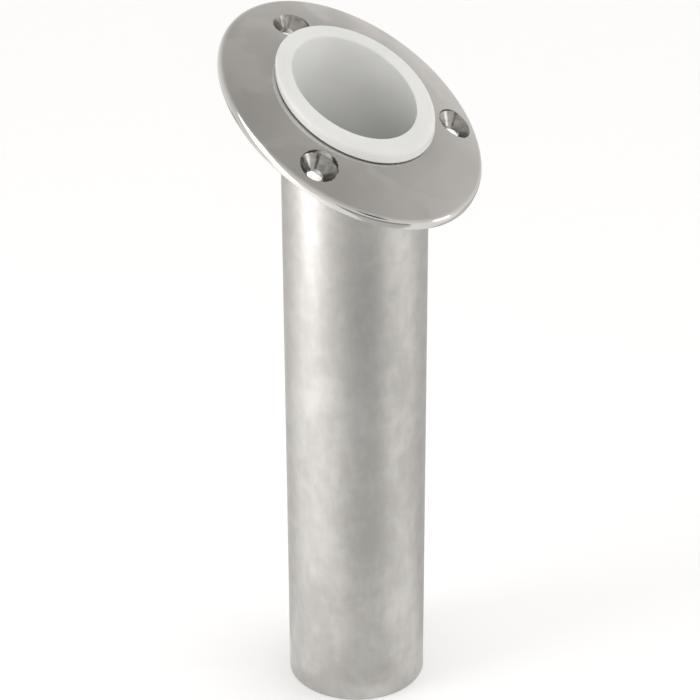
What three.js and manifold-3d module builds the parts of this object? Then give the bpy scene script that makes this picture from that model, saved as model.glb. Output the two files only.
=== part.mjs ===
// Flush-mount fishing-rod holder: a mitred tube welded into a crowned oval deck flange, with a
// cross pin near its foot for the rod's gimbal, and a push-in plastic liner whose lip covers the
// seam. Millimetres. Z is the tube's axis and the flange drops towards +X. The origin is where
// the tube's axis meets the flat underside of the flange, in the middle of the deck's cut-out.

import * as THREE from 'three';
import { mergeVertices } from 'three/addons/utils/BufferGeometryUtils.js';
import Module from 'manifold-3d';

const wasm = await Module();
wasm.setup();

// ---- Driving dimensions ------------------------------------------------------------------

const TILT = THREE.MathUtils.degToRad(30); // lean of the tube from the flange's normal
const FIT_GAP = 0.3; // left between pieces that are welded or pushed together

const TUBE_R = 25.4;
const TUBE_WALL = 1.5;
const TUBE_FOOT_Z = -217.6; // the square-cut lower end
const TUBE_EDGE = 0.35; // rounding of the cut ends

const FLANGE_A = 53.6; // half length, along the slope
const FLANGE_B = 43.1; // half width
const FLANGE_SHIFT = -3.9; // centre of the oval, along the slope from the origin
const RIM_T = 4; // thickness at the rim
const CROWN = 4; // rise of the top from the rim to the seat
const CROWN_START = 0.5; // slope of the crown beside the seat, against its mean slope
const RIM_ROUND = 1.8; // rounding of the rim's upper edge
const RIM_FOOT_ROUND = 1.2; // rounding of the rim's lower edge
const SEAT_W = RIM_T + CROWN; // height of the flat seat above the underside
const SEAT_A = 32; // half length of the flat seat

const SCREW_CIRCLE_R = 37.4;
const SCREW_OFFSET = -0.8; // centre of the screw circle, from the oval's centre
const SCREW_ANGLES = [180, 55.8, -55.8]; // degrees round the oval from its low end
const SCREW_HOLE_R = 2.75;
const SINK_R = 6.5; // countersink, where it meets the crowned top
const SINK_DEPTH = 3.75; // of the sink's cone
const SINK_STEP = 0.5; // straight wall above the cone

const LIP_R = 27.2; // half its width across the slope; the mitre makes it longer along the slope
const LIP_STRETCH = 0.98; // its length along X, against its width
const LIP_SHIFT = 0.5; // the lip is this much wider on its low side
const LIP_T = 3.2;
const LIP_GAP = 0.4; // shadow gap between the lip and its seat
const LIP_ROUND = 1.3;
const MOUTH_ROUND = 0.7;
const LINER_R = TUBE_R - TUBE_WALL - FIT_GAP;
const LINER_BORE_R = 21;
const LINER_FOOT_Z = -198; // just above the gimbal pin
const LINER_EDGE = 0.8;

const PIN_R = 4;
const PIN_Z = TUBE_FOOT_Z + 12;
const PLUG_R = 4.6; // weld metal that closes each pin hole, dressed flush with the tube
const PLUG_FROM = TUBE_R - TUBE_WALL; // distance of its inner face from the axis

const WELD_LEG = 4.5; // fillet weld between the tube and the underside

const ROUND_STEPS = 64; // facets round the large pieces
const SMALL_STEPS = 20; // facets round pins and screw holes
const CORNER_STEPS = 3; // facets on a rounded edge

// ---- Materials ---------------------------------------------------------------------------

const polishedSteel = { color: 0xb3b0aa, roughness: 0.12, metalness: 1 };
const satinSteel = { color: 0xaaa8a3, roughness: 0.38, metalness: 1 };
const weldSteel = { color: 0x9c9892, roughness: 0.5, metalness: 1 };
const whitePlastic = { color: 0xe4e4df, roughness: 0.4, metalness: 0 };

// ---- Helpers -----------------------------------------------------------------------------

// A closed manifold solid from any closed three.js geometry.
function solidOf(geometry) {
  const bare = geometry.clone();
  bare.deleteAttribute('normal');
  bare.deleteAttribute('uv');
  const merged = mergeVertices(bare, 1e-4);
  const triangles = [];
  for (let i = 0; i < merged.index.count; i += 3) {
    const [a, b, c] = [0, 1, 2].map((k) => merged.index.getX(i + k));
    if (a !== b && b !== c && c !== a) {
      triangles.push(a, b, c);
    }
  }
  return new wasm.Manifold(new wasm.Mesh({
    numProp: 3,
    vertProperties: new Float32Array(merged.attributes.position.array),
    triVerts: new Uint32Array(triangles),
  }));
}

function geometryOf(solid) {
  const mesh = solid.getMesh();
  const geometry = new THREE.BufferGeometry();
  geometry.setAttribute('position', new THREE.BufferAttribute(mesh.vertProperties, 3));
  geometry.setIndex(new THREE.BufferAttribute(mesh.triVerts, 1));
  geometry.computeVertexNormals();
  return geometry;
}

function pieceOf(name, solid, look) {
  const mesh = new THREE.Mesh(geometryOf(solid), new THREE.MeshStandardMaterial(look));
  mesh.name = name;
  return mesh;
}

// A profile in the (radius, height) plane, closed on itself, from corners [r, z, rounding]
// listed up the outside and down the inside.
function ringProfile(corners) {
  const path = new THREE.Path();
  corners.forEach(([r, z, rounding], i) => {
    const corner = new THREE.Vector2(r, z);
    const [before, after] = [-1, 1].map((step) => {
      const [r2, z2] = corners[(i + step + corners.length) % corners.length];
      return new THREE.Vector2(r2, z2).sub(corner).setLength(rounding).add(corner);
    });
    if (i === 0) {
      path.moveTo(before.x, before.y);
    } else {
      path.lineTo(before.x, before.y);
    }
    if (rounding > 0) {
      path.quadraticCurveTo(corner.x, corner.y, after.x, after.y);
    }
  });
  path.closePath();
  return path.getPoints(CORNER_STEPS);
}

// Revolves a profile about Z.
function revolve(profile, steps) {
  return new THREE.LatheGeometry(profile, steps).rotateX(Math.PI / 2);
}

function rod(radius, length) {
  return new THREE.CylinderGeometry(radius, radius, length, SMALL_STEPS);
}

// Drops the upper end of a revolved piece along the slope, so that its level faces become
// parallel to the flange while its walls stay on the same cylinders. Feet stay square.
const MITRE_ABOVE_Z = -60;

function mitred(geometry) {
  const points = geometry.attributes.position;
  for (let i = 0; i < points.count; i += 1) {
    if (points.getZ(i) > MITRE_ABOVE_Z) {
      points.setZ(i, points.getZ(i) - points.getX(i) * Math.tan(TILT));
    }
  }
  return geometry;
}

// Height on the tube's axis of the plane that lies this far above the flange's underside.
function axisHeight(above) {
  return above / Math.cos(TILT);
}

// ---- Flange ------------------------------------------------------------------------------

// Height of the crowned top over the underside, at a radius measured along the oval's length.
function crownHeight(radius) {
  const outward = Math.max(0, (radius - SEAT_A) / (FLANGE_A - SEAT_A));
  return SEAT_W - CROWN * outward * (CROWN_START + (1 - CROWN_START) * outward);
}

// Crowned oval blank, about its own centre, with its underside on z = 0.
function flangeBlank() {
  const crownStart = FLANGE_A - RIM_ROUND;
  const rim = new THREE.QuadraticBezierCurve(
    new THREE.Vector2(FLANGE_A, RIM_T - RIM_ROUND),
    new THREE.Vector2(FLANGE_A, RIM_T),
    new THREE.Vector2(crownStart, crownHeight(crownStart)),
  );
  const foot = new THREE.QuadraticBezierCurve(
    new THREE.Vector2(FLANGE_A - RIM_FOOT_ROUND, 0),
    new THREE.Vector2(FLANGE_A, 0),
    new THREE.Vector2(FLANGE_A, RIM_FOOT_ROUND),
  );
  const profile = [
    new THREE.Vector2(0, 0),
    ...foot.getPoints(CORNER_STEPS),
    ...rim.getPoints(CORNER_STEPS + 1),
  ];
  const crownSteps = 8;
  for (let i = 1; i <= crownSteps; i += 1) {
    const radius = THREE.MathUtils.lerp(crownStart, SEAT_A, i / crownSteps);
    profile.push(new THREE.Vector2(radius, crownHeight(radius)));
  }
  profile.push(new THREE.Vector2(0, SEAT_W));
  return revolve(profile, ROUND_STEPS).scale(1, FLANGE_B / FLANGE_A, 1);
}

// Through hole and countersink for one screw, with the sink's edge at the given height.
function screwCutter(surface) {
  const over = 3; // past the surface, which slopes across the sink
  const coneTop = surface - SINK_STEP;
  return revolve([
    new THREE.Vector2(0, -1),
    new THREE.Vector2(SCREW_HOLE_R, -1),
    new THREE.Vector2(SCREW_HOLE_R, coneTop - SINK_DEPTH),
    new THREE.Vector2(SINK_R, coneTop),
    new THREE.Vector2(SINK_R, surface + over),
    new THREE.Vector2(0, surface + over),
  ], SMALL_STEPS);
}

function makeFlange() {
  let flange = solidOf(flangeBlank().translate(FLANGE_SHIFT, 0, 0));
  const opening = new THREE.CylinderGeometry(
    TUBE_R + FIT_GAP, TUBE_R + FIT_GAP, 80, ROUND_STEPS,
  );
  opening.rotateX(Math.PI / 2).rotateY(-TILT);
  flange = flange.subtract(solidOf(opening));
  for (const degrees of SCREW_ANGLES) {
    const angle = THREE.MathUtils.degToRad(degrees);
    const x = SCREW_OFFSET + SCREW_CIRCLE_R * Math.cos(angle);
    const y = SCREW_CIRCLE_R * Math.sin(angle);
    const surface = crownHeight(Math.hypot(x, y * FLANGE_A / FLANGE_B));
    const cutter = screwCutter(surface).translate(FLANGE_SHIFT + x, y, 0);
    flange = flange.subtract(solidOf(cutter));
  }
  return pieceOf('flange', flange, polishedSteel);
}

// ---- Tube and its weld -------------------------------------------------------------------

function makeTube() {
  const top = axisHeight(SEAT_W);
  const inner = TUBE_R - TUBE_WALL;
  const wall = mitred(revolve(ringProfile([
    [TUBE_R, TUBE_FOOT_Z, TUBE_EDGE],
    [TUBE_R, top, TUBE_EDGE],
    [inner, top, TUBE_EDGE],
    [inner, TUBE_FOOT_Z, TUBE_EDGE],
  ]), ROUND_STEPS));
  const pinHole = rod(PLUG_R + FIT_GAP, 4 * TUBE_R).translate(0, 0, PIN_Z);
  return pieceOf('tube', solidOf(wall).subtract(solidOf(pinHole)), satinSteel);
}

function makeFlangeWeld() {
  const inner = TUBE_R + FIT_GAP;
  const top = axisHeight(-FIT_GAP);
  const bead = mitred(revolve(ringProfile([
    [inner + WELD_LEG, top, 1],
    [inner, top, 0.2],
    [inner, top - WELD_LEG, 1],
    [inner + 0.55 * WELD_LEG, top - 0.6 * WELD_LEG, 1],
  ]), ROUND_STEPS));
  return pieceOf('flange_weld', solidOf(bead), weldSteel);
}

// ---- Gimbal pin --------------------------------------------------------------------------

function makePin() {
  const length = 2 * (PLUG_FROM - FIT_GAP);
  const pin = rod(PIN_R, length).translate(0, 0, PIN_Z);
  return pieceOf('gimbal_pin', solidOf(pin), satinSteel);
}

function makePinPlug(name, side) {
  const length = 4;
  const plug = rod(PLUG_R, length).translate(0, side * (PLUG_FROM + length / 2), PIN_Z);
  const skin = new THREE.CylinderGeometry(TUBE_R, TUBE_R, 40, ROUND_STEPS);
  skin.rotateX(Math.PI / 2).translate(0, 0, PIN_Z);
  return pieceOf(name, solidOf(plug).intersect(solidOf(skin)), weldSteel);
}

// ---- Liner -------------------------------------------------------------------------------

function makeLiner() {
  const under = axisHeight(SEAT_W + LIP_GAP);
  const top = axisHeight(SEAT_W + LIP_GAP + LIP_T);
  const sleeve = revolve(ringProfile([
    [LINER_R, LINER_FOOT_Z, LINER_EDGE],
    [LINER_R, under, 0],
    [LIP_R, under, 0.4],
    [LIP_R, top, LIP_ROUND],
    [LINER_BORE_R, top, MOUTH_ROUND],
    [LINER_BORE_R, LINER_FOOT_Z, LINER_EDGE],
  ]), ROUND_STEPS);
  const points = sleeve.attributes.position;
  for (let i = 0; i < points.count; i += 1) {
    if (Math.hypot(points.getX(i), points.getY(i)) > LINER_R + 0.01) {
      points.setX(i, points.getX(i) * LIP_STRETCH + LIP_SHIFT);
    }
  }
  return pieceOf('liner', solidOf(mitred(sleeve)), whitePlastic);
}

// ---- Assembly ----------------------------------------------------------------------------

const slope = new THREE.Group(); // the deck's plane, tipped down towards +X
slope.rotation.y = TILT;
slope.add(makeFlange());

const rodHolder = new THREE.Group();
rodHolder.add(
  slope,
  makeTube(),
  makeFlangeWeld(),
  makePin(),
  makePinPlug('pin_plug_left', 1),
  makePinPlug('pin_plug_right', -1),
  makeLiner(),
);

export default rodHolder;
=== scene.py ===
"""A flush-mount fishing-rod holder: polished crowned flange, hand-sanded satin tube, cross pin,
dressed welds and a white push-in liner, standing on a pale studio floor."""

import math

import bmesh
import bpy
from mathutils import Matrix, Vector


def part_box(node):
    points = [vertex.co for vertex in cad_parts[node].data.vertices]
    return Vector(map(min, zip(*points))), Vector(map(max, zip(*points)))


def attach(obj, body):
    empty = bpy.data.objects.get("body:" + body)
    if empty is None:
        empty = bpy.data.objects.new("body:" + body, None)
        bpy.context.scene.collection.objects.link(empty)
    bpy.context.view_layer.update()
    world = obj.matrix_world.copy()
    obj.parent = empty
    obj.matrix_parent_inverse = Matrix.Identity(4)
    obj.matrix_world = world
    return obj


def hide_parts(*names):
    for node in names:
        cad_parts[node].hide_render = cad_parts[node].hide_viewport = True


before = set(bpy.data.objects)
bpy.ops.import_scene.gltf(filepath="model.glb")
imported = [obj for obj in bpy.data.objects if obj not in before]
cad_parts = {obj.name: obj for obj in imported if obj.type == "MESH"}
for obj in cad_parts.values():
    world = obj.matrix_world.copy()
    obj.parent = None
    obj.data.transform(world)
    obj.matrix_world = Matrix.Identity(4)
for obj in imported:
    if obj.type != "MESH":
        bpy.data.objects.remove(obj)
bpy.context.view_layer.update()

# ---- Sizes, in millimetres until a mesh is made --------------------------------------------

MM = 0.001
TILT_DEGREES = 30
TILT = math.radians(TILT_DEGREES)

# Mitring slopes all of a shape above this height: a tube's upper end, but not its foot.
MITRE_ABOVE = -60

tube_low, tube_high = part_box("tube")
liner_low, liner_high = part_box("liner")
pin_low, pin_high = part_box("gimbal_pin")

TUBE_R = tube_high.y / MM
TUBE_WALL = 1.5
TUBE_INNER = TUBE_R - TUBE_WALL
TUBE_TOP_ROUND = 0.3
TUBE_FOOT_ROUND = 0.4
FOOT_Z = tube_low.z / MM
FIT_GAP = 0.3

FLANGE_A = 53.6
FLANGE_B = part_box("flange")[1].y / MM
FLANGE_SHIFT = -3.9
RIM_T = 4
CROWN = 4
CROWN_START = 0.5
RIM_ROUND = 1.8
RIM_FOOT_ROUND = 1.2
SEAT_W = RIM_T + CROWN
SEAT_A = 32
OPENING_CUT_REACH = 40

SCREW_CIRCLE_R = 37.4
SCREW_OFFSET = -0.8
SCREW_ANGLES = (180, 55.8, -55.8)
SCREW_HOLE_R = 2.75
SINK_R = 6.5
SINK_DEPTH = 3.75
SINK_STEP = 0.5
SCREW_CUT_BELOW = 1
SCREW_CUT_ABOVE = 3

LIP_R = liner_high.y / MM
LIP_STRETCH = 0.98
LIP_SHIFT = 0.5
LIP_T = 3.2
LIP_GAP = 0.4
LIP_ROUND = 1.3
LIP_UNDER_ROUND = 0.5
MOUTH_ROUND = 0.7
LINER_R = TUBE_INNER - FIT_GAP
BORE_R = 21
LINER_FOOT_Z = liner_low.z / MM
LINER_FOOT_ROUND = 0.8

PIN_R = (pin_high.z - pin_low.z) / 2 / MM
PIN_Z = (pin_high.z + pin_low.z) / 2 / MM
PIN_LET_IN = 0.2
PIN_CHAMFER = 0.3
PLUG_R = 5.2
PLUG_DEPTH = 1.2
PLUG_UNDERCUT = 0.4
PLUG_PROUD = 0.05
PLUG_EDGE_SUNK = 0.03

WELD_LEG = 4.5
WELD_GAP = 0.05
WELD_TOE_ROUND = 1
WELD_ROOT_ROUND = 0.2
WELD_FACE_OUT = 0.55
WELD_FACE_DOWN = 0.6
WELD_RIPPLES = 96
WELD_RIPPLE_LEAN = 0.9
WELD_RIPPLE_SIZE = 0.014
WELD_WANDERS = 3
WELD_WANDER_SIZE = 0.012


# ---- Mesh helpers --------------------------------------------------------------------------

def along_axis(above):
    """Height on the tube's axis of the plane this far above the flange's underside."""
    return above / math.cos(TILT)


def rounded(corners, steps=8):
    """Closed outline from (radius, height, rounding) corners. A corner's rounding is how much
    of each side next to it is taken up by its true arc."""
    outline = []
    for i, (r, z, rounding) in enumerate(corners):
        corner = Vector((r, z))
        if rounding == 0:
            outline.append(corner)
            continue
        before = Vector(corners[i - 1][:2]) - corner
        after = Vector(corners[(i + 1) % len(corners)][:2]) - corner
        weight = math.sin(before.angle(after) / 2)
        start = corner + before.normalized() * rounding
        end = corner + after.normalized() * rounding
        for k in range(steps + 1):
            t = k / steps
            a, b, c = (1 - t) ** 2, 2 * t * (1 - t) * weight, t * t
            outline.append((start * a + corner * b + end * c) / (a + b + c))
    return outline


def revolved(profile, steps, closed=True):
    """A bmesh of (radius, height) points, listed up the outside, turned about Z."""
    turned = bmesh.new()
    rings = []
    for r, z in profile:
        if r == 0:
            rings.append([turned.verts.new((0, 0, z))])
            continue
        angles = [math.tau * i / steps for i in range(steps)]
        rings.append([turned.verts.new((r * math.cos(a), r * math.sin(a), z)) for a in angles])
    uppers = rings[1:] + (rings[:1] if closed else [])
    for lower, upper in zip(rings, uppers):
        for i in range(steps):
            j = (i + 1) % steps
            corners = (
                lower[i % len(lower)], lower[j % len(lower)],
                upper[j % len(upper)], upper[i % len(upper)],
            )
            corners = tuple(dict.fromkeys(corners))
            if len(corners) > 2:
                turned.faces.new(corners)
    return turned


def warp(shape, move):
    """Moves each vertex of a bmesh to move(x, y, z)."""
    for vertex in shape.verts:
        vertex.co = Vector(move(*vertex.co))
    return shape


def mitred(shape):
    """Drops the upper end along the slope, so that level faces lie parallel to the flange."""
    return warp(shape, lambda x, y, z: (x, y, z - x * math.tan(TILT) if z > MITRE_ABOVE else z))


def piece(name, shape, *materials, sharp=35):
    """Turns a bmesh in millimetres into a smooth-shaded object in metres."""
    shape.transform(Matrix.Scale(MM, 4))
    mesh = bpy.data.meshes.new(name)
    shape.to_mesh(mesh)
    shape.free()
    made = bpy.data.objects.new(name, mesh)
    bpy.context.scene.collection.objects.link(made)
    finish_shading(mesh, sharp)
    for look in materials:
        mesh.materials.append(look)
    return made


def finish_shading(mesh, sharp):
    """Smooth shading, except over edges that turn by more than this many degrees."""
    mesh.shade_smooth()
    mesh.set_sharp_from_angle(angle=math.radians(sharp))


def cut(target, *cutters, sharp):
    """Cuts the cutters out of the target's mesh, and removes them."""
    for cutter in cutters:
        step = target.modifiers.new("cut", "BOOLEAN")
        step.operation = "DIFFERENCE"
        step.solver = "EXACT"
        step.object = cutter
    ready = target.evaluated_get(bpy.context.evaluated_depsgraph_get())
    mesh = bpy.data.meshes.new_from_object(ready)
    target.modifiers.clear()
    target.data = mesh
    for cutter in cutters:
        bpy.data.objects.remove(cutter)
    finish_shading(mesh, sharp)


# ---- Material helpers ----------------------------------------------------------------------

# The Mix node's sockets when it blends colours.
MIX_FACTOR = 0
MIX_FIRST = 6
MIX_SECOND = 7
MIX_RESULT = 2


class Look:
    """A material around one Principled shader, with short calls to add nodes."""

    def __init__(self, name):
        self.material = bpy.data.materials.new(name)
        self.material.use_nodes = True
        self.tree = self.material.node_tree
        self.shader = self.tree.nodes["Principled BSDF"]
        self.place = self.add("ShaderNodeTexCoord").outputs["Object"]

    def add(self, kind, **settings):
        """A new node with these settings."""
        made = self.tree.nodes.new(kind)
        for key, value in settings.items():
            setattr(made, key, value)
        return made

    def feed(self, socket, value):
        """Links another node's output to a socket, or sets the socket to a plain value."""
        if isinstance(value, bpy.types.NodeSocket):
            self.tree.links.new(value, socket)
        else:
            socket.default_value = value

    def set(self, **values):
        """Feeds the shader's inputs, named with _ in place of each space."""
        for key, value in values.items():
            self.feed(self.shader.inputs[key.replace("_", " ")], value)

    def stretched(self, scale, turn=(0, 0, 0)):
        """Object coordinates turned, in degrees, and scaled differently along each axis."""
        mapping = self.add("ShaderNodeMapping")
        self.feed(mapping.inputs["Vector"], self.place)
        mapping.inputs["Scale"].default_value = scale
        mapping.inputs["Rotation"].default_value = [math.radians(a) for a in turn]
        return mapping.outputs["Vector"]

    def noise(self, scale, detail=3, roughness=0.5, distortion=0, at=None):
        """Noise from 0 to 1 with this many features to a metre, or at stretched coordinates."""
        noise = self.add("ShaderNodeTexNoise")
        self.feed(noise.inputs["Vector"], at or self.place)
        noise.inputs["Scale"].default_value = scale
        noise.inputs["Detail"].default_value = detail
        noise.inputs["Roughness"].default_value = roughness
        noise.inputs["Distortion"].default_value = distortion
        return noise.outputs["Fac"]

    def ranged(self, value, low, high, start=0.3, end=0.7):
        """A value that runs from low to high as the input runs from start to end."""
        ranged = self.add("ShaderNodeMapRange", interpolation_type="SMOOTHSTEP")
        self.feed(ranged.inputs["Value"], value)
        ranged.inputs["From Min"].default_value = start
        ranged.inputs["From Max"].default_value = end
        ranged.inputs["To Min"].default_value = low
        ranged.inputs["To Max"].default_value = high
        return ranged.outputs["Result"]

    def maths(self, operation, first, second=0):
        """The result of a Math node, some of whose operations take no second value."""
        step = self.add("ShaderNodeMath", operation=operation)
        self.feed(step.inputs[0], first)
        self.feed(step.inputs[1], second)
        return step.outputs[0]

    def weighed(self, *pairs):
        """The sum of (value, weight) pairs."""
        parts = [self.maths("MULTIPLY", value, weight) for value, weight in pairs]
        total = parts[0]
        for part in parts[1:]:
            total = self.maths("ADD", total, part)
        return total

    def blend(self, factor, first, second):
        """A colour between two, by a factor."""
        mix = self.add("ShaderNodeMix", data_type="RGBA")
        self.feed(mix.inputs[MIX_FACTOR], factor)
        mix.inputs[MIX_FIRST].default_value = (*first, 1)
        mix.inputs[MIX_SECOND].default_value = (*second, 1)
        return mix.outputs[MIX_RESULT]

    def bump(self, height, distance, strength, below=None):
        """A bump of this many millimetres, over another bump if one is given."""
        bump = self.add("ShaderNodeBump")
        bump.inputs["Strength"].default_value = strength
        bump.inputs["Distance"].default_value = distance * MM
        self.feed(bump.inputs["Height"], height)
        if below is not None:
            self.feed(bump.inputs["Normal"], below)
        return bump.outputs["Normal"]


# ---- Materials -----------------------------------------------------------------------------

def polished_steel():
    """Mirror-polished casting: faint waviness, wiped-on smears, hairline scratches and a few
    faint, broken ribbons of lighter colour, which are painted reflection streaks."""
    look = Look("polished_steel")
    darker, lighter = (0.585, 0.57, 0.545), (0.675, 0.66, 0.635)
    waves = look.noise(38, detail=1.5)
    smears = look.noise(90, detail=5, distortion=0.8)
    hairs = look.noise(1, detail=2, at=look.stretched((70, 2600, 900), (0, TILT_DEGREES, 25)))
    contours = look.noise(13, detail=2, distortion=0.9)
    from_contour = look.maths("ABSOLUTE", look.maths("SUBTRACT", contours, 0.5))
    # Painted reflection: thin lighter streaks along the noise's contours.
    painted_streaks = look.ranged(from_contour, 0.3, 0, start=0, end=0.04)
    breaks = look.ranged(look.noise(45), 0, 1, start=0.45, end=0.6)
    broken_painted_streaks = look.maths("MULTIPLY", painted_streaks, breaks)
    tone = look.maths("ADD", look.noise(30), broken_painted_streaks)
    smear_roughness = look.ranged(smears, 0.07, 0.15)
    hair_roughness = look.ranged(hairs, 0, 0.05, start=0.55, end=0.8)
    polish = look.bump(waves, 0.12, strength=0.35)
    look.set(
        Base_Color=look.blend(look.ranged(tone, 0, 1), darker, lighter),
        Metallic=1,
        Roughness=look.maths("ADD", smear_roughness, hair_roughness),
        Normal=look.bump(hairs, 0.004, strength=0.5, below=polish),
    )
    return look.material


def cast_steel():
    """The flange's flat underside, ground flat but not polished."""
    look = Look("cast_steel")
    darker, lighter = (0.44, 0.43, 0.41), (0.55, 0.54, 0.52)
    grind = look.noise(1, detail=4, at=look.stretched((2200, 120, 2200), (0, TILT_DEGREES, 0)))
    pits = look.noise(700)
    tone = look.noise(60, detail=4)
    ground = look.bump(grind, 0.02, strength=0.6)
    look.set(
        Base_Color=look.blend(look.ranged(tone, 0, 1), darker, lighter),
        Metallic=1,
        Roughness=look.ranged(tone, 0.34, 0.5),
        Normal=look.bump(pits, 0.02, strength=0.4, below=ground),
    )
    return look.material


def machined_steel_with_painted_shade():
    """Walls of the screw holes, cut by a tool: rougher than the polish, and clearly darker in
    colour, which is painted shade in the holes.
    """
    look = Look("machined_steel_with_painted_shade")
    # Painted shade: these colours are much darker than the polish's.
    darker, lighter = (0.29, 0.28, 0.262), (0.45, 0.438, 0.418)
    chatter = look.noise(420)
    look.set(
        Base_Color=look.blend(look.ranged(chatter, 0, 1), darker, lighter),
        Metallic=1,
        Roughness=look.ranged(chatter, 0.14, 0.26),
        Normal=look.bump(chatter, 0.04, strength=0.6),
    )
    return look.material


def satin_steel():
    """Tube sanded by hand: cloudy patches with faint slanted streaks, fine scratches round it
    and on a slant, and a soft, uneven sheen."""
    look = Look("satin_steel")
    darker, lighter = (0.5, 0.487, 0.466), (0.605, 0.591, 0.568)
    tone_start, tone_end = 0.38, 0.62
    clouds = look.noise(34, detail=4, distortion=0.6, at=look.stretched((1, 1, 0.45)))
    patches = look.noise(130, detail=5, roughness=0.6, distortion=0.4)
    rings = look.noise(1, at=look.stretched((60, 60, 2400)))
    slants = look.noise(1, at=look.stretched((90, 1500, 1500), (35, 20, 0)))
    streak_place = look.stretched((420, 420, 130), (28, 16, 0))
    streaks = look.noise(1, detail=4, roughness=0.65, at=streak_place)
    tone = look.weighed((clouds, 0.46), (patches, 0.38), (streaks, 0.16))
    scratches = look.weighed((rings, 0.6), (slants, 0.4))
    dents = look.bump(clouds, 0.5, strength=0.18)
    tangent = look.add("ShaderNodeTangent", direction_type="RADIAL", axis="Z")
    look.set(
        Base_Color=look.blend(look.ranged(tone, 0, 1, tone_start, tone_end), darker, lighter),
        Metallic=1,
        Roughness=look.ranged(tone, 0.4, 0.34, tone_start, tone_end),
        Anisotropic=0.55,
        Tangent=tangent.outputs["Tangent"],
        Normal=look.bump(scratches, 0.016, strength=0.7, below=dents),
    )
    return look.material


def weld_steel():
    """Weld metal: slightly darker and rougher than the plate, with a trace of straw tint."""
    look = Look("weld_steel")
    straw, grey = (0.47, 0.44, 0.39), (0.55, 0.54, 0.53)
    grain = look.noise(900, detail=4)
    tint = look.noise(120)
    look.set(
        Base_Color=look.blend(look.ranged(tint, 0, 1), straw, grey),
        Metallic=1,
        Roughness=look.ranged(grain, 0.32, 0.55),
        Normal=look.bump(grain, 0.03, strength=0.5),
    )
    return look.material


def white_plastic():
    """Moulded PVC: off-white, slightly translucent, with a soft grain and faint scuffs."""
    look = Look("white_plastic")
    darker, lighter = (0.73, 0.732, 0.713), (0.77, 0.772, 0.753)
    grain = look.noise(1500, detail=2)
    flow = look.noise(45, distortion=0.4)
    scuffs = look.noise(1, at=look.stretched((500, 60, 180), (0, TILT_DEGREES, 40)))
    flow_roughness = look.ranged(flow, 0.34, 0.42)
    scuff_roughness = look.ranged(scuffs, 0, 0.12, start=0.6, end=0.75)
    moulded = look.bump(flow, 0.15, strength=0.2)
    look.set(
        Base_Color=look.blend(look.ranged(flow, 0, 1), darker, lighter),
        Roughness=look.maths("ADD", flow_roughness, scuff_roughness),
        IOR=1.53,
        Subsurface_Weight=0.15,
        Subsurface_Radius=(0.0012, 0.0011, 0.001),
        Subsurface_Scale=1,
        Normal=look.bump(grain, 0.012, strength=0.5, below=moulded),
    )
    return look.material


def glowing_paint(name, shade, roughness, glow):
    """Plain grey paint that gives off a little white light of its own."""
    look = Look(name)
    look.set(Base_Color=(shade, shade, shade, 1), Roughness=roughness)
    look.set(Emission_Color=(1, 1, 1, 1), Emission_Strength=glow)
    return look.material


POLISHED = polished_steel()
CAST = cast_steel()
MACHINED_WITH_SHADE = machined_steel_with_painted_shade()
SATIN = satin_steel()
WELD = weld_steel()
PLASTIC = white_plastic()


# ---- Flange --------------------------------------------------------------------------------

# The flange's material slots are the polished top and rim, then these two.
CAST_SLOT = 1
HOLE_SHADE_SLOT = 2

# A face whose normal is this nearly straight down, as a cosine, is on the underside.
UNDERSIDE_COSINE = -0.999

# How far from a screw hole's wall a face may lie and still be taken as part of it.
WALL_MARGIN = 0.1


def crown_height(radius):
    """Height of the crowned top above the underside, at a radius along the oval's length."""
    outward = max(0, (radius - SEAT_A) / (FLANGE_A - SEAT_A))
    return SEAT_W - CROWN * outward * (CROWN_START + (1 - CROWN_START) * outward)


def flange_profile(crown_steps=40):
    """Outline of the flange along its length: the rounded rim, the crown and the flat seat."""
    crown_edge = FLANGE_A - RIM_ROUND
    crown_point = (crown_edge, crown_height(crown_edge), 0)
    rim = rounded([(FLANGE_A, 0, RIM_FOOT_ROUND), (FLANGE_A, RIM_T, RIM_ROUND), crown_point])
    profile = [(0, 0)] + [tuple(point) for point in rim[:-1]]
    for i in range(crown_steps + 1):
        radius = crown_edge + (SEAT_A - crown_edge) * i / crown_steps
        profile.append((radius, crown_height(radius)))
    profile.append((0, SEAT_W))
    return profile


def screw_cutter(surface):
    """Through hole and countersink for a screw, whose sink meets the surface at this height."""
    bottom = -SCREW_CUT_BELOW
    top = surface + SCREW_CUT_ABOVE
    cone_top = surface - SINK_STEP
    return revolved([
        (0, bottom),
        (SCREW_HOLE_R, bottom),
        (SCREW_HOLE_R, cone_top - SINK_DEPTH),
        (SINK_R, cone_top),
        (SINK_R, top),
        (0, top),
    ], steps=96, closed=False)


def screw_places():
    """Where the screws go, in the flange's plane from the oval's centre."""
    for degrees in SCREW_ANGLES:
        angle = math.radians(degrees)
        x = SCREW_OFFSET + SCREW_CIRCLE_R * math.cos(angle)
        yield Vector((x, SCREW_CIRCLE_R * math.sin(angle)))


def in_screw_hole(spot):
    """True for a point of the flange, in its own level frame, on a sink's wall or a hole's."""
    for place in screw_places():
        reach = (spot.xy - place - Vector((FLANGE_SHIFT, 0))).length
        surface = crown_height(math.hypot(place.x, place.y * FLANGE_A / FLANGE_B))
        wall = SCREW_HOLE_R + max(0, spot.z - surface + SINK_STEP + SINK_DEPTH)
        if reach < min(SINK_R, wall) + WALL_MARGIN:
            return True
    return False


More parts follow.
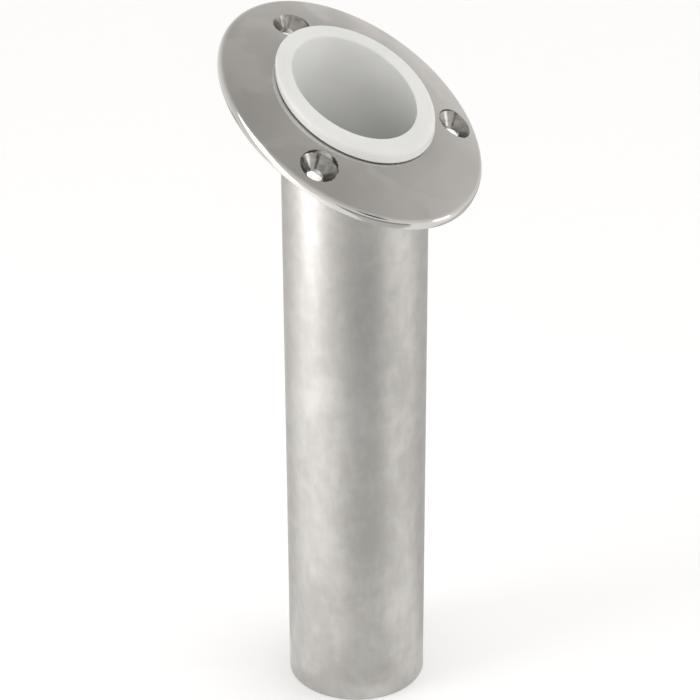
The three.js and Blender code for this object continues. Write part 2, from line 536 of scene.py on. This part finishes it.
def make_flange():
    """Crowned oval plate, tipped by the tilt and cut for the tube and the three screws."""
    blank = revolved(flange_profile(), steps=384, closed=False)
    squash = FLANGE_B / FLANGE_A
    warp(blank, lambda x, y, z: (x + FLANGE_SHIFT, y * squash, z))
    tip = Matrix.Rotation(TILT, 4, "Y")
    blank.transform(tip)
    flange = piece("flange_plate", blank, POLISHED, CAST, MACHINED_WITH_SHADE)
    cutters = []
    for number, (x, y) in enumerate(screw_places()):
        cutter = screw_cutter(crown_height(math.hypot(x, y / squash)))
        cutter.transform(tip @ Matrix.Translation((FLANGE_SHIFT + x, y, 0)))
        cutters.append(piece(f"screw_cutter_{number}", cutter))
    hole = TUBE_R + FIT_GAP
    opening = revolved([
        (0, -OPENING_CUT_REACH),
        (hole, -OPENING_CUT_REACH),
        (hole, OPENING_CUT_REACH),
        (0, OPENING_CUT_REACH),
    ], steps=256, closed=False)
    cutters.append(piece("opening_cutter", opening))
    cut(flange, *cutters, sharp=22)
    up = tip @ Vector((0, 0, 1))
    # The screw holes' walls get the machined material, whose darker colour is painted shade.
    for face in flange.data.polygons:
        if face.normal.dot(up) < UNDERSIDE_COSINE:
            face.material_index = CAST_SLOT
        elif in_screw_hole(tip.inverted() @ face.center / MM):
            face.material_index = HOLE_SHADE_SLOT
    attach(flange, "holder")
    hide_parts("flange")


# ---- Tube, pin and welds -------------------------------------------------------------------

def make_tube():
    """Length of tube with a square-cut foot and a top that lies flush with the flange's seat."""
    top = along_axis(SEAT_W)
    wall = mitred(revolved(rounded([
        (TUBE_R, FOOT_Z, TUBE_FOOT_ROUND),
        (TUBE_R, top, TUBE_TOP_ROUND),
        (TUBE_INNER, top, TUBE_TOP_ROUND),
        (TUBE_INNER, FOOT_Z, TUBE_FOOT_ROUND),
    ], steps=4), steps=256))
    tube = piece("tube_wall", wall, SATIN)
    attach(tube, "holder")
    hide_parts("tube")


def make_flange_weld():
    """Fillet bead with stacked ripples, laid between the tube and the underside."""
    inner = TUBE_R + WELD_GAP
    top = along_axis(-WELD_GAP)
    face = (inner + WELD_FACE_OUT * WELD_LEG, top - WELD_FACE_DOWN * WELD_LEG, WELD_TOE_ROUND)
    bead = revolved(rounded([
        (inner + WELD_LEG, top, WELD_TOE_ROUND),
        (inner, top, WELD_ROOT_ROUND),
        (inner, top - WELD_LEG, WELD_TOE_ROUND),
        face,
    ], steps=5)[::-1], steps=720)

    def ripple(x, y, z):
        angle = math.atan2(y, x)
        out = (math.hypot(x, y) - inner) / WELD_LEG
        phase = (angle * WELD_RIPPLES / math.tau + WELD_RIPPLE_LEAN * out) % 1
        wander = WELD_WANDER_SIZE * math.sin(WELD_WANDERS * angle)
        swell = 1 + wander - WELD_RIPPLE_SIZE * phase * out
        return x * swell, y * swell, z

    weld = piece("flange_weld_bead", mitred(warp(bead, ripple)), WELD, sharp=50)
    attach(weld, "holder")
    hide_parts("flange_weld")


def make_pin():
    """Cross pin that stops the rod's butt, with its ends let a little into the tube's wall."""
    half = TUBE_INNER + PIN_LET_IN
    rod = revolved([
        (0, -half),
        (PIN_R - PIN_CHAMFER, -half),
        (PIN_R, -half + PIN_CHAMFER),
        (PIN_R, half - PIN_CHAMFER),
        (PIN_R - PIN_CHAMFER, half),
        (0, half),
    ], steps=64, closed=False)
    rod.transform(Matrix.Translation((0, 0, PIN_Z)) @ Matrix.Rotation(math.pi / 2, 4, "X"))
    pin = piece("gimbal_rod", rod, SATIN)
    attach(pin, "holder")
    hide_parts("gimbal_pin")


def make_pin_plug(side, node, dome_steps=8):
    """Weld metal over a pin's end, ground almost flush with the tube."""
    lens = [(0, -PLUG_DEPTH), (PLUG_R - PLUG_UNDERCUT, -PLUG_DEPTH)]
    for k in range(dome_steps + 1):
        reach = 1 - k / dome_steps
        lens.append((PLUG_R * reach, PLUG_PROUD * (1 - reach ** 2) - PLUG_EDGE_SUNK * reach))
    button = revolved(lens, steps=72, closed=False)
    turn = math.radians(90 * side)

    def wrap(x, y, z):
        angle = turn + x / TUBE_R
        return (TUBE_R + z) * math.cos(angle), (TUBE_R + z) * math.sin(angle), PIN_Z + y

    plug = piece(f"pin_weld_{node.split('_')[-1]}", warp(button, wrap), SATIN)
    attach(plug, "holder")
    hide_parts(node)


# ---- Liner ---------------------------------------------------------------------------------

def make_liner():
    """Sleeve with an oval lip that rests just above the flange's seat."""
    under = along_axis(SEAT_W + LIP_GAP)
    top = along_axis(SEAT_W + LIP_GAP + LIP_T)
    sleeve = revolved(rounded([
        (LINER_R, LINER_FOOT_Z, LINER_FOOT_ROUND),
        (LINER_R, under, 0),
        (LIP_R, under, LIP_UNDER_ROUND),
        (LIP_R, top, LIP_ROUND),
        (BORE_R, top, MOUTH_ROUND),
        (BORE_R, LINER_FOOT_Z, LINER_FOOT_ROUND),
    ], steps=10), steps=320)
    lip_starts = LINER_R + 0.01

    def off_centre(x, y, z):
        in_lip = math.hypot(x, y) > lip_starts
        return x * LIP_STRETCH + LIP_SHIFT if in_lip else x, y, z

    liner = piece("liner_sleeve", mitred(warp(sleeve, off_centre)), PLASTIC)
    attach(liner, "sleeve")
    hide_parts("liner")


# ---- Studio, in metres and degrees, with azimuths measured from -Y -------------------------

CAMERA_AZIMUTH = 48.74
CAMERA_ELEVATION = 25.57
CAMERA_ROLL = -0.26
CAMERA_AIM = Vector((-0.0013, -0.0015, -0.0852))
CAMERA_DISTANCE = 0.772
CAMERA_LENS_MM = 111.3
CAMERA_CLIP_START = 0.01

FLOOR_SIZE = 60
CARD_LIFT = 0.001
DARK_CARD_HALF = 0.16


def towards(azimuth, elevation):
    """Direction of a view azimuth and elevation as a unit vector."""
    a, e = math.radians(azimuth), math.radians(elevation)
    return Vector((math.sin(a) * math.cos(e), -math.cos(a) * math.cos(e), math.sin(e)))


def make_camera():
    """Camera at the photograph's viewing angle."""
    roll = math.radians(CAMERA_ROLL)
    back = towards(CAMERA_AZIMUTH, CAMERA_ELEVATION)
    level = Vector((0, 0, 1)).cross(back).normalized()
    rise = back.cross(level)
    right = level * math.cos(roll) + rise * math.sin(roll)
    up = back.cross(right)
    lens = bpy.data.cameras.new("camera")
    lens.lens = CAMERA_LENS_MM
    lens.clip_start = CAMERA_CLIP_START
    camera = bpy.data.objects.new("camera", lens)
    bpy.context.scene.collection.objects.link(camera)
    rows = []
    for i in range(3):
        rows.append((right[i], up[i], back[i], CAMERA_AIM[i] + back[i] * CAMERA_DISTANCE))
    camera.matrix_world = Matrix((*rows, (0, 0, 0, 1)))
    bpy.context.scene.camera = camera


def make_floor():
    """A floor that is wide enough to fill the views."""
    slab = bmesh.new()
    bmesh.ops.create_grid(slab, x_segments=1, y_segments=1, size=FLOOR_SIZE / MM / 2)
    floor = piece("floor", slab, glowing_paint("floor_paint", 0.9, roughness=0.7, glow=0.14))
    floor.location.z = FOOT_Z * MM


def stand(thing, azimuth, distance, height, aim_height):
    """Puts a lamp or card round the holder, facing a point on its axis. Both heights are above
    the floor."""
    spot = towards(azimuth, 0) * distance
    spot.z = FOOT_Z * MM + height
    aim = Vector((0, 0, FOOT_Z * MM + aim_height))
    thing.location = spot
    thing.rotation_euler = (spot - aim).to_track_quat("Z", "Y").to_euler()


def softbox(name, radiance, width, height, azimuth, distance, centre, aim_height):
    """A rectangular lamp of even brightness, which the camera doesn't see."""
    lamp = bpy.data.lights.new(name, "AREA")
    lamp.shape = "RECTANGLE"
    lamp.size, lamp.size_y = width, height
    lamp.energy = radiance * math.pi * width * height
    box = bpy.data.objects.new(name, lamp)
    box.visible_camera = False
    bpy.context.scene.collection.objects.link(box)
    stand(box, azimuth, distance, centre, aim_height)


def broad_light(name, irradiance, spread, azimuth, elevation):
    """An even light over the whole floor, which is left out of all reflections."""
    lamp = bpy.data.lights.new(name, "SUN")
    lamp.energy = irradiance
    lamp.angle = math.radians(spread)
    sun = bpy.data.objects.new(name, lamp)
    sun.visible_glossy = False
    sun.rotation_euler = towards(azimuth, elevation).to_track_quat("Z", "Y").to_euler()
    bpy.context.scene.collection.objects.link(sun)


def card(name, outline, shade, glow=0):
    """A card that shows only in reflections: a painted reflection, as a band of painted shade
    or, where it glows, of painted light.
    """
    sheet = bmesh.new()
    sheet.faces.new([sheet.verts.new((x / MM, y / MM, 0)) for x, y in outline])
    made = piece(name, sheet, glowing_paint(name, shade, roughness=1, glow=glow))
    made.visible_camera = False
    made.visible_diffuse = False
    made.visible_shadow = False
    return made


def floor_wedge(name, azimuth, spread, near, far, shade, glow=0):
    """A card lying on the floor, from near to far, seen from the holder as this wide."""
    widen = math.tan(math.radians(spread / 2))
    wedge = card(name, [
        (-near * widen, -near), (-far * widen, -far), (far * widen, -far), (near * widen, -near),
    ], shade, glow)
    wedge.rotation_euler.z = math.radians(azimuth)
    wedge.location.z = FOOT_Z * MM + CARD_LIFT


def make_cards():
    """Painted reflections: bands of painted shade, and one of painted light, that the tube
    mirrors from the floor, and a dark patch of painted shade that the near screw hole's sink
    mirrors."""
    floor_wedge("foot_card", azimuth=62, spread=62, near=0.03, far=0.09, shade=0.75)
    floor_wedge("near_card", azimuth=62, spread=62, near=0.09, far=0.3, shade=0.6)
    floor_wedge("far_card", azimuth=62, spread=62, near=0.3, far=0.9, shade=0.36)
    floor_wedge("glow_card", azimuth=-17, spread=40, near=0.03, far=0.3, shade=0.9, glow=0.32)
    floor_wedge("left_card", azimuth=-92, spread=60, near=0.03, far=0.9, shade=0.72)
    floor_wedge("right_card", azimuth=188, spread=70, near=0.03, far=0.9, shade=0.66)
    half = DARK_CARD_HALF
    dark = card("dark_card", [(-half, -half), (half, -half), (half, half), (-half, half)], 0.03)
    stand(dark, azimuth=71, distance=1, height=0.46, aim_height=0.22)


def make_sky():
    """A pale sky, dimmer overhead than at the horizon."""
    world = bpy.data.worlds.new("studio")
    world.use_nodes = True
    tree = world.node_tree
    sky = tree.nodes["Background"]
    sky.inputs["Color"].default_value = (1, 0.985, 0.96, 1)
    place = tree.nodes.new("ShaderNodeTexCoord")
    split = tree.nodes.new("ShaderNodeSeparateXYZ")
    ramp = tree.nodes.new("ShaderNodeMapRange")
    ramp.inputs["From Min"].default_value = 0.3
    ramp.inputs["From Max"].default_value = 1
    ramp.inputs["To Min"].default_value = 0.85
    ramp.inputs["To Max"].default_value = 0.46
    tree.links.new(place.outputs["Generated"], split.inputs[0])
    tree.links.new(split.outputs["Z"], ramp.inputs["Value"])
    tree.links.new(ramp.outputs["Result"], sky.inputs["Strength"])
    bpy.context.scene.world = world


def make_studio():
    """Floor, sky, cards and lamps, shown without a film-like tone curve."""
    make_floor()
    make_sky()
    make_cards()
    broad_light("overhead", irradiance=0.98, spread=60, azimuth=158, elevation=66)
    broad_light("front_fill", irradiance=0.1, spread=40, azimuth=62, elevation=12)
    softbox("left_strip", radiance=2.6, width=0.2, height=0.5,
            azimuth=-17, distance=0.42, centre=0.25, aim_height=0.15)
    softbox("right_strip", radiance=1.8, width=0.22, height=0.3,
            azimuth=126, distance=0.8, centre=0.2, aim_height=0.2)
    bpy.context.scene.view_settings.view_transform = "Standard"


make_camera()
make_flange()
make_tube()
make_flange_weld()
make_pin()
make_pin_plug(1, "pin_plug_left")
make_pin_plug(-1, "pin_plug_right")
make_liner()
make_studio()
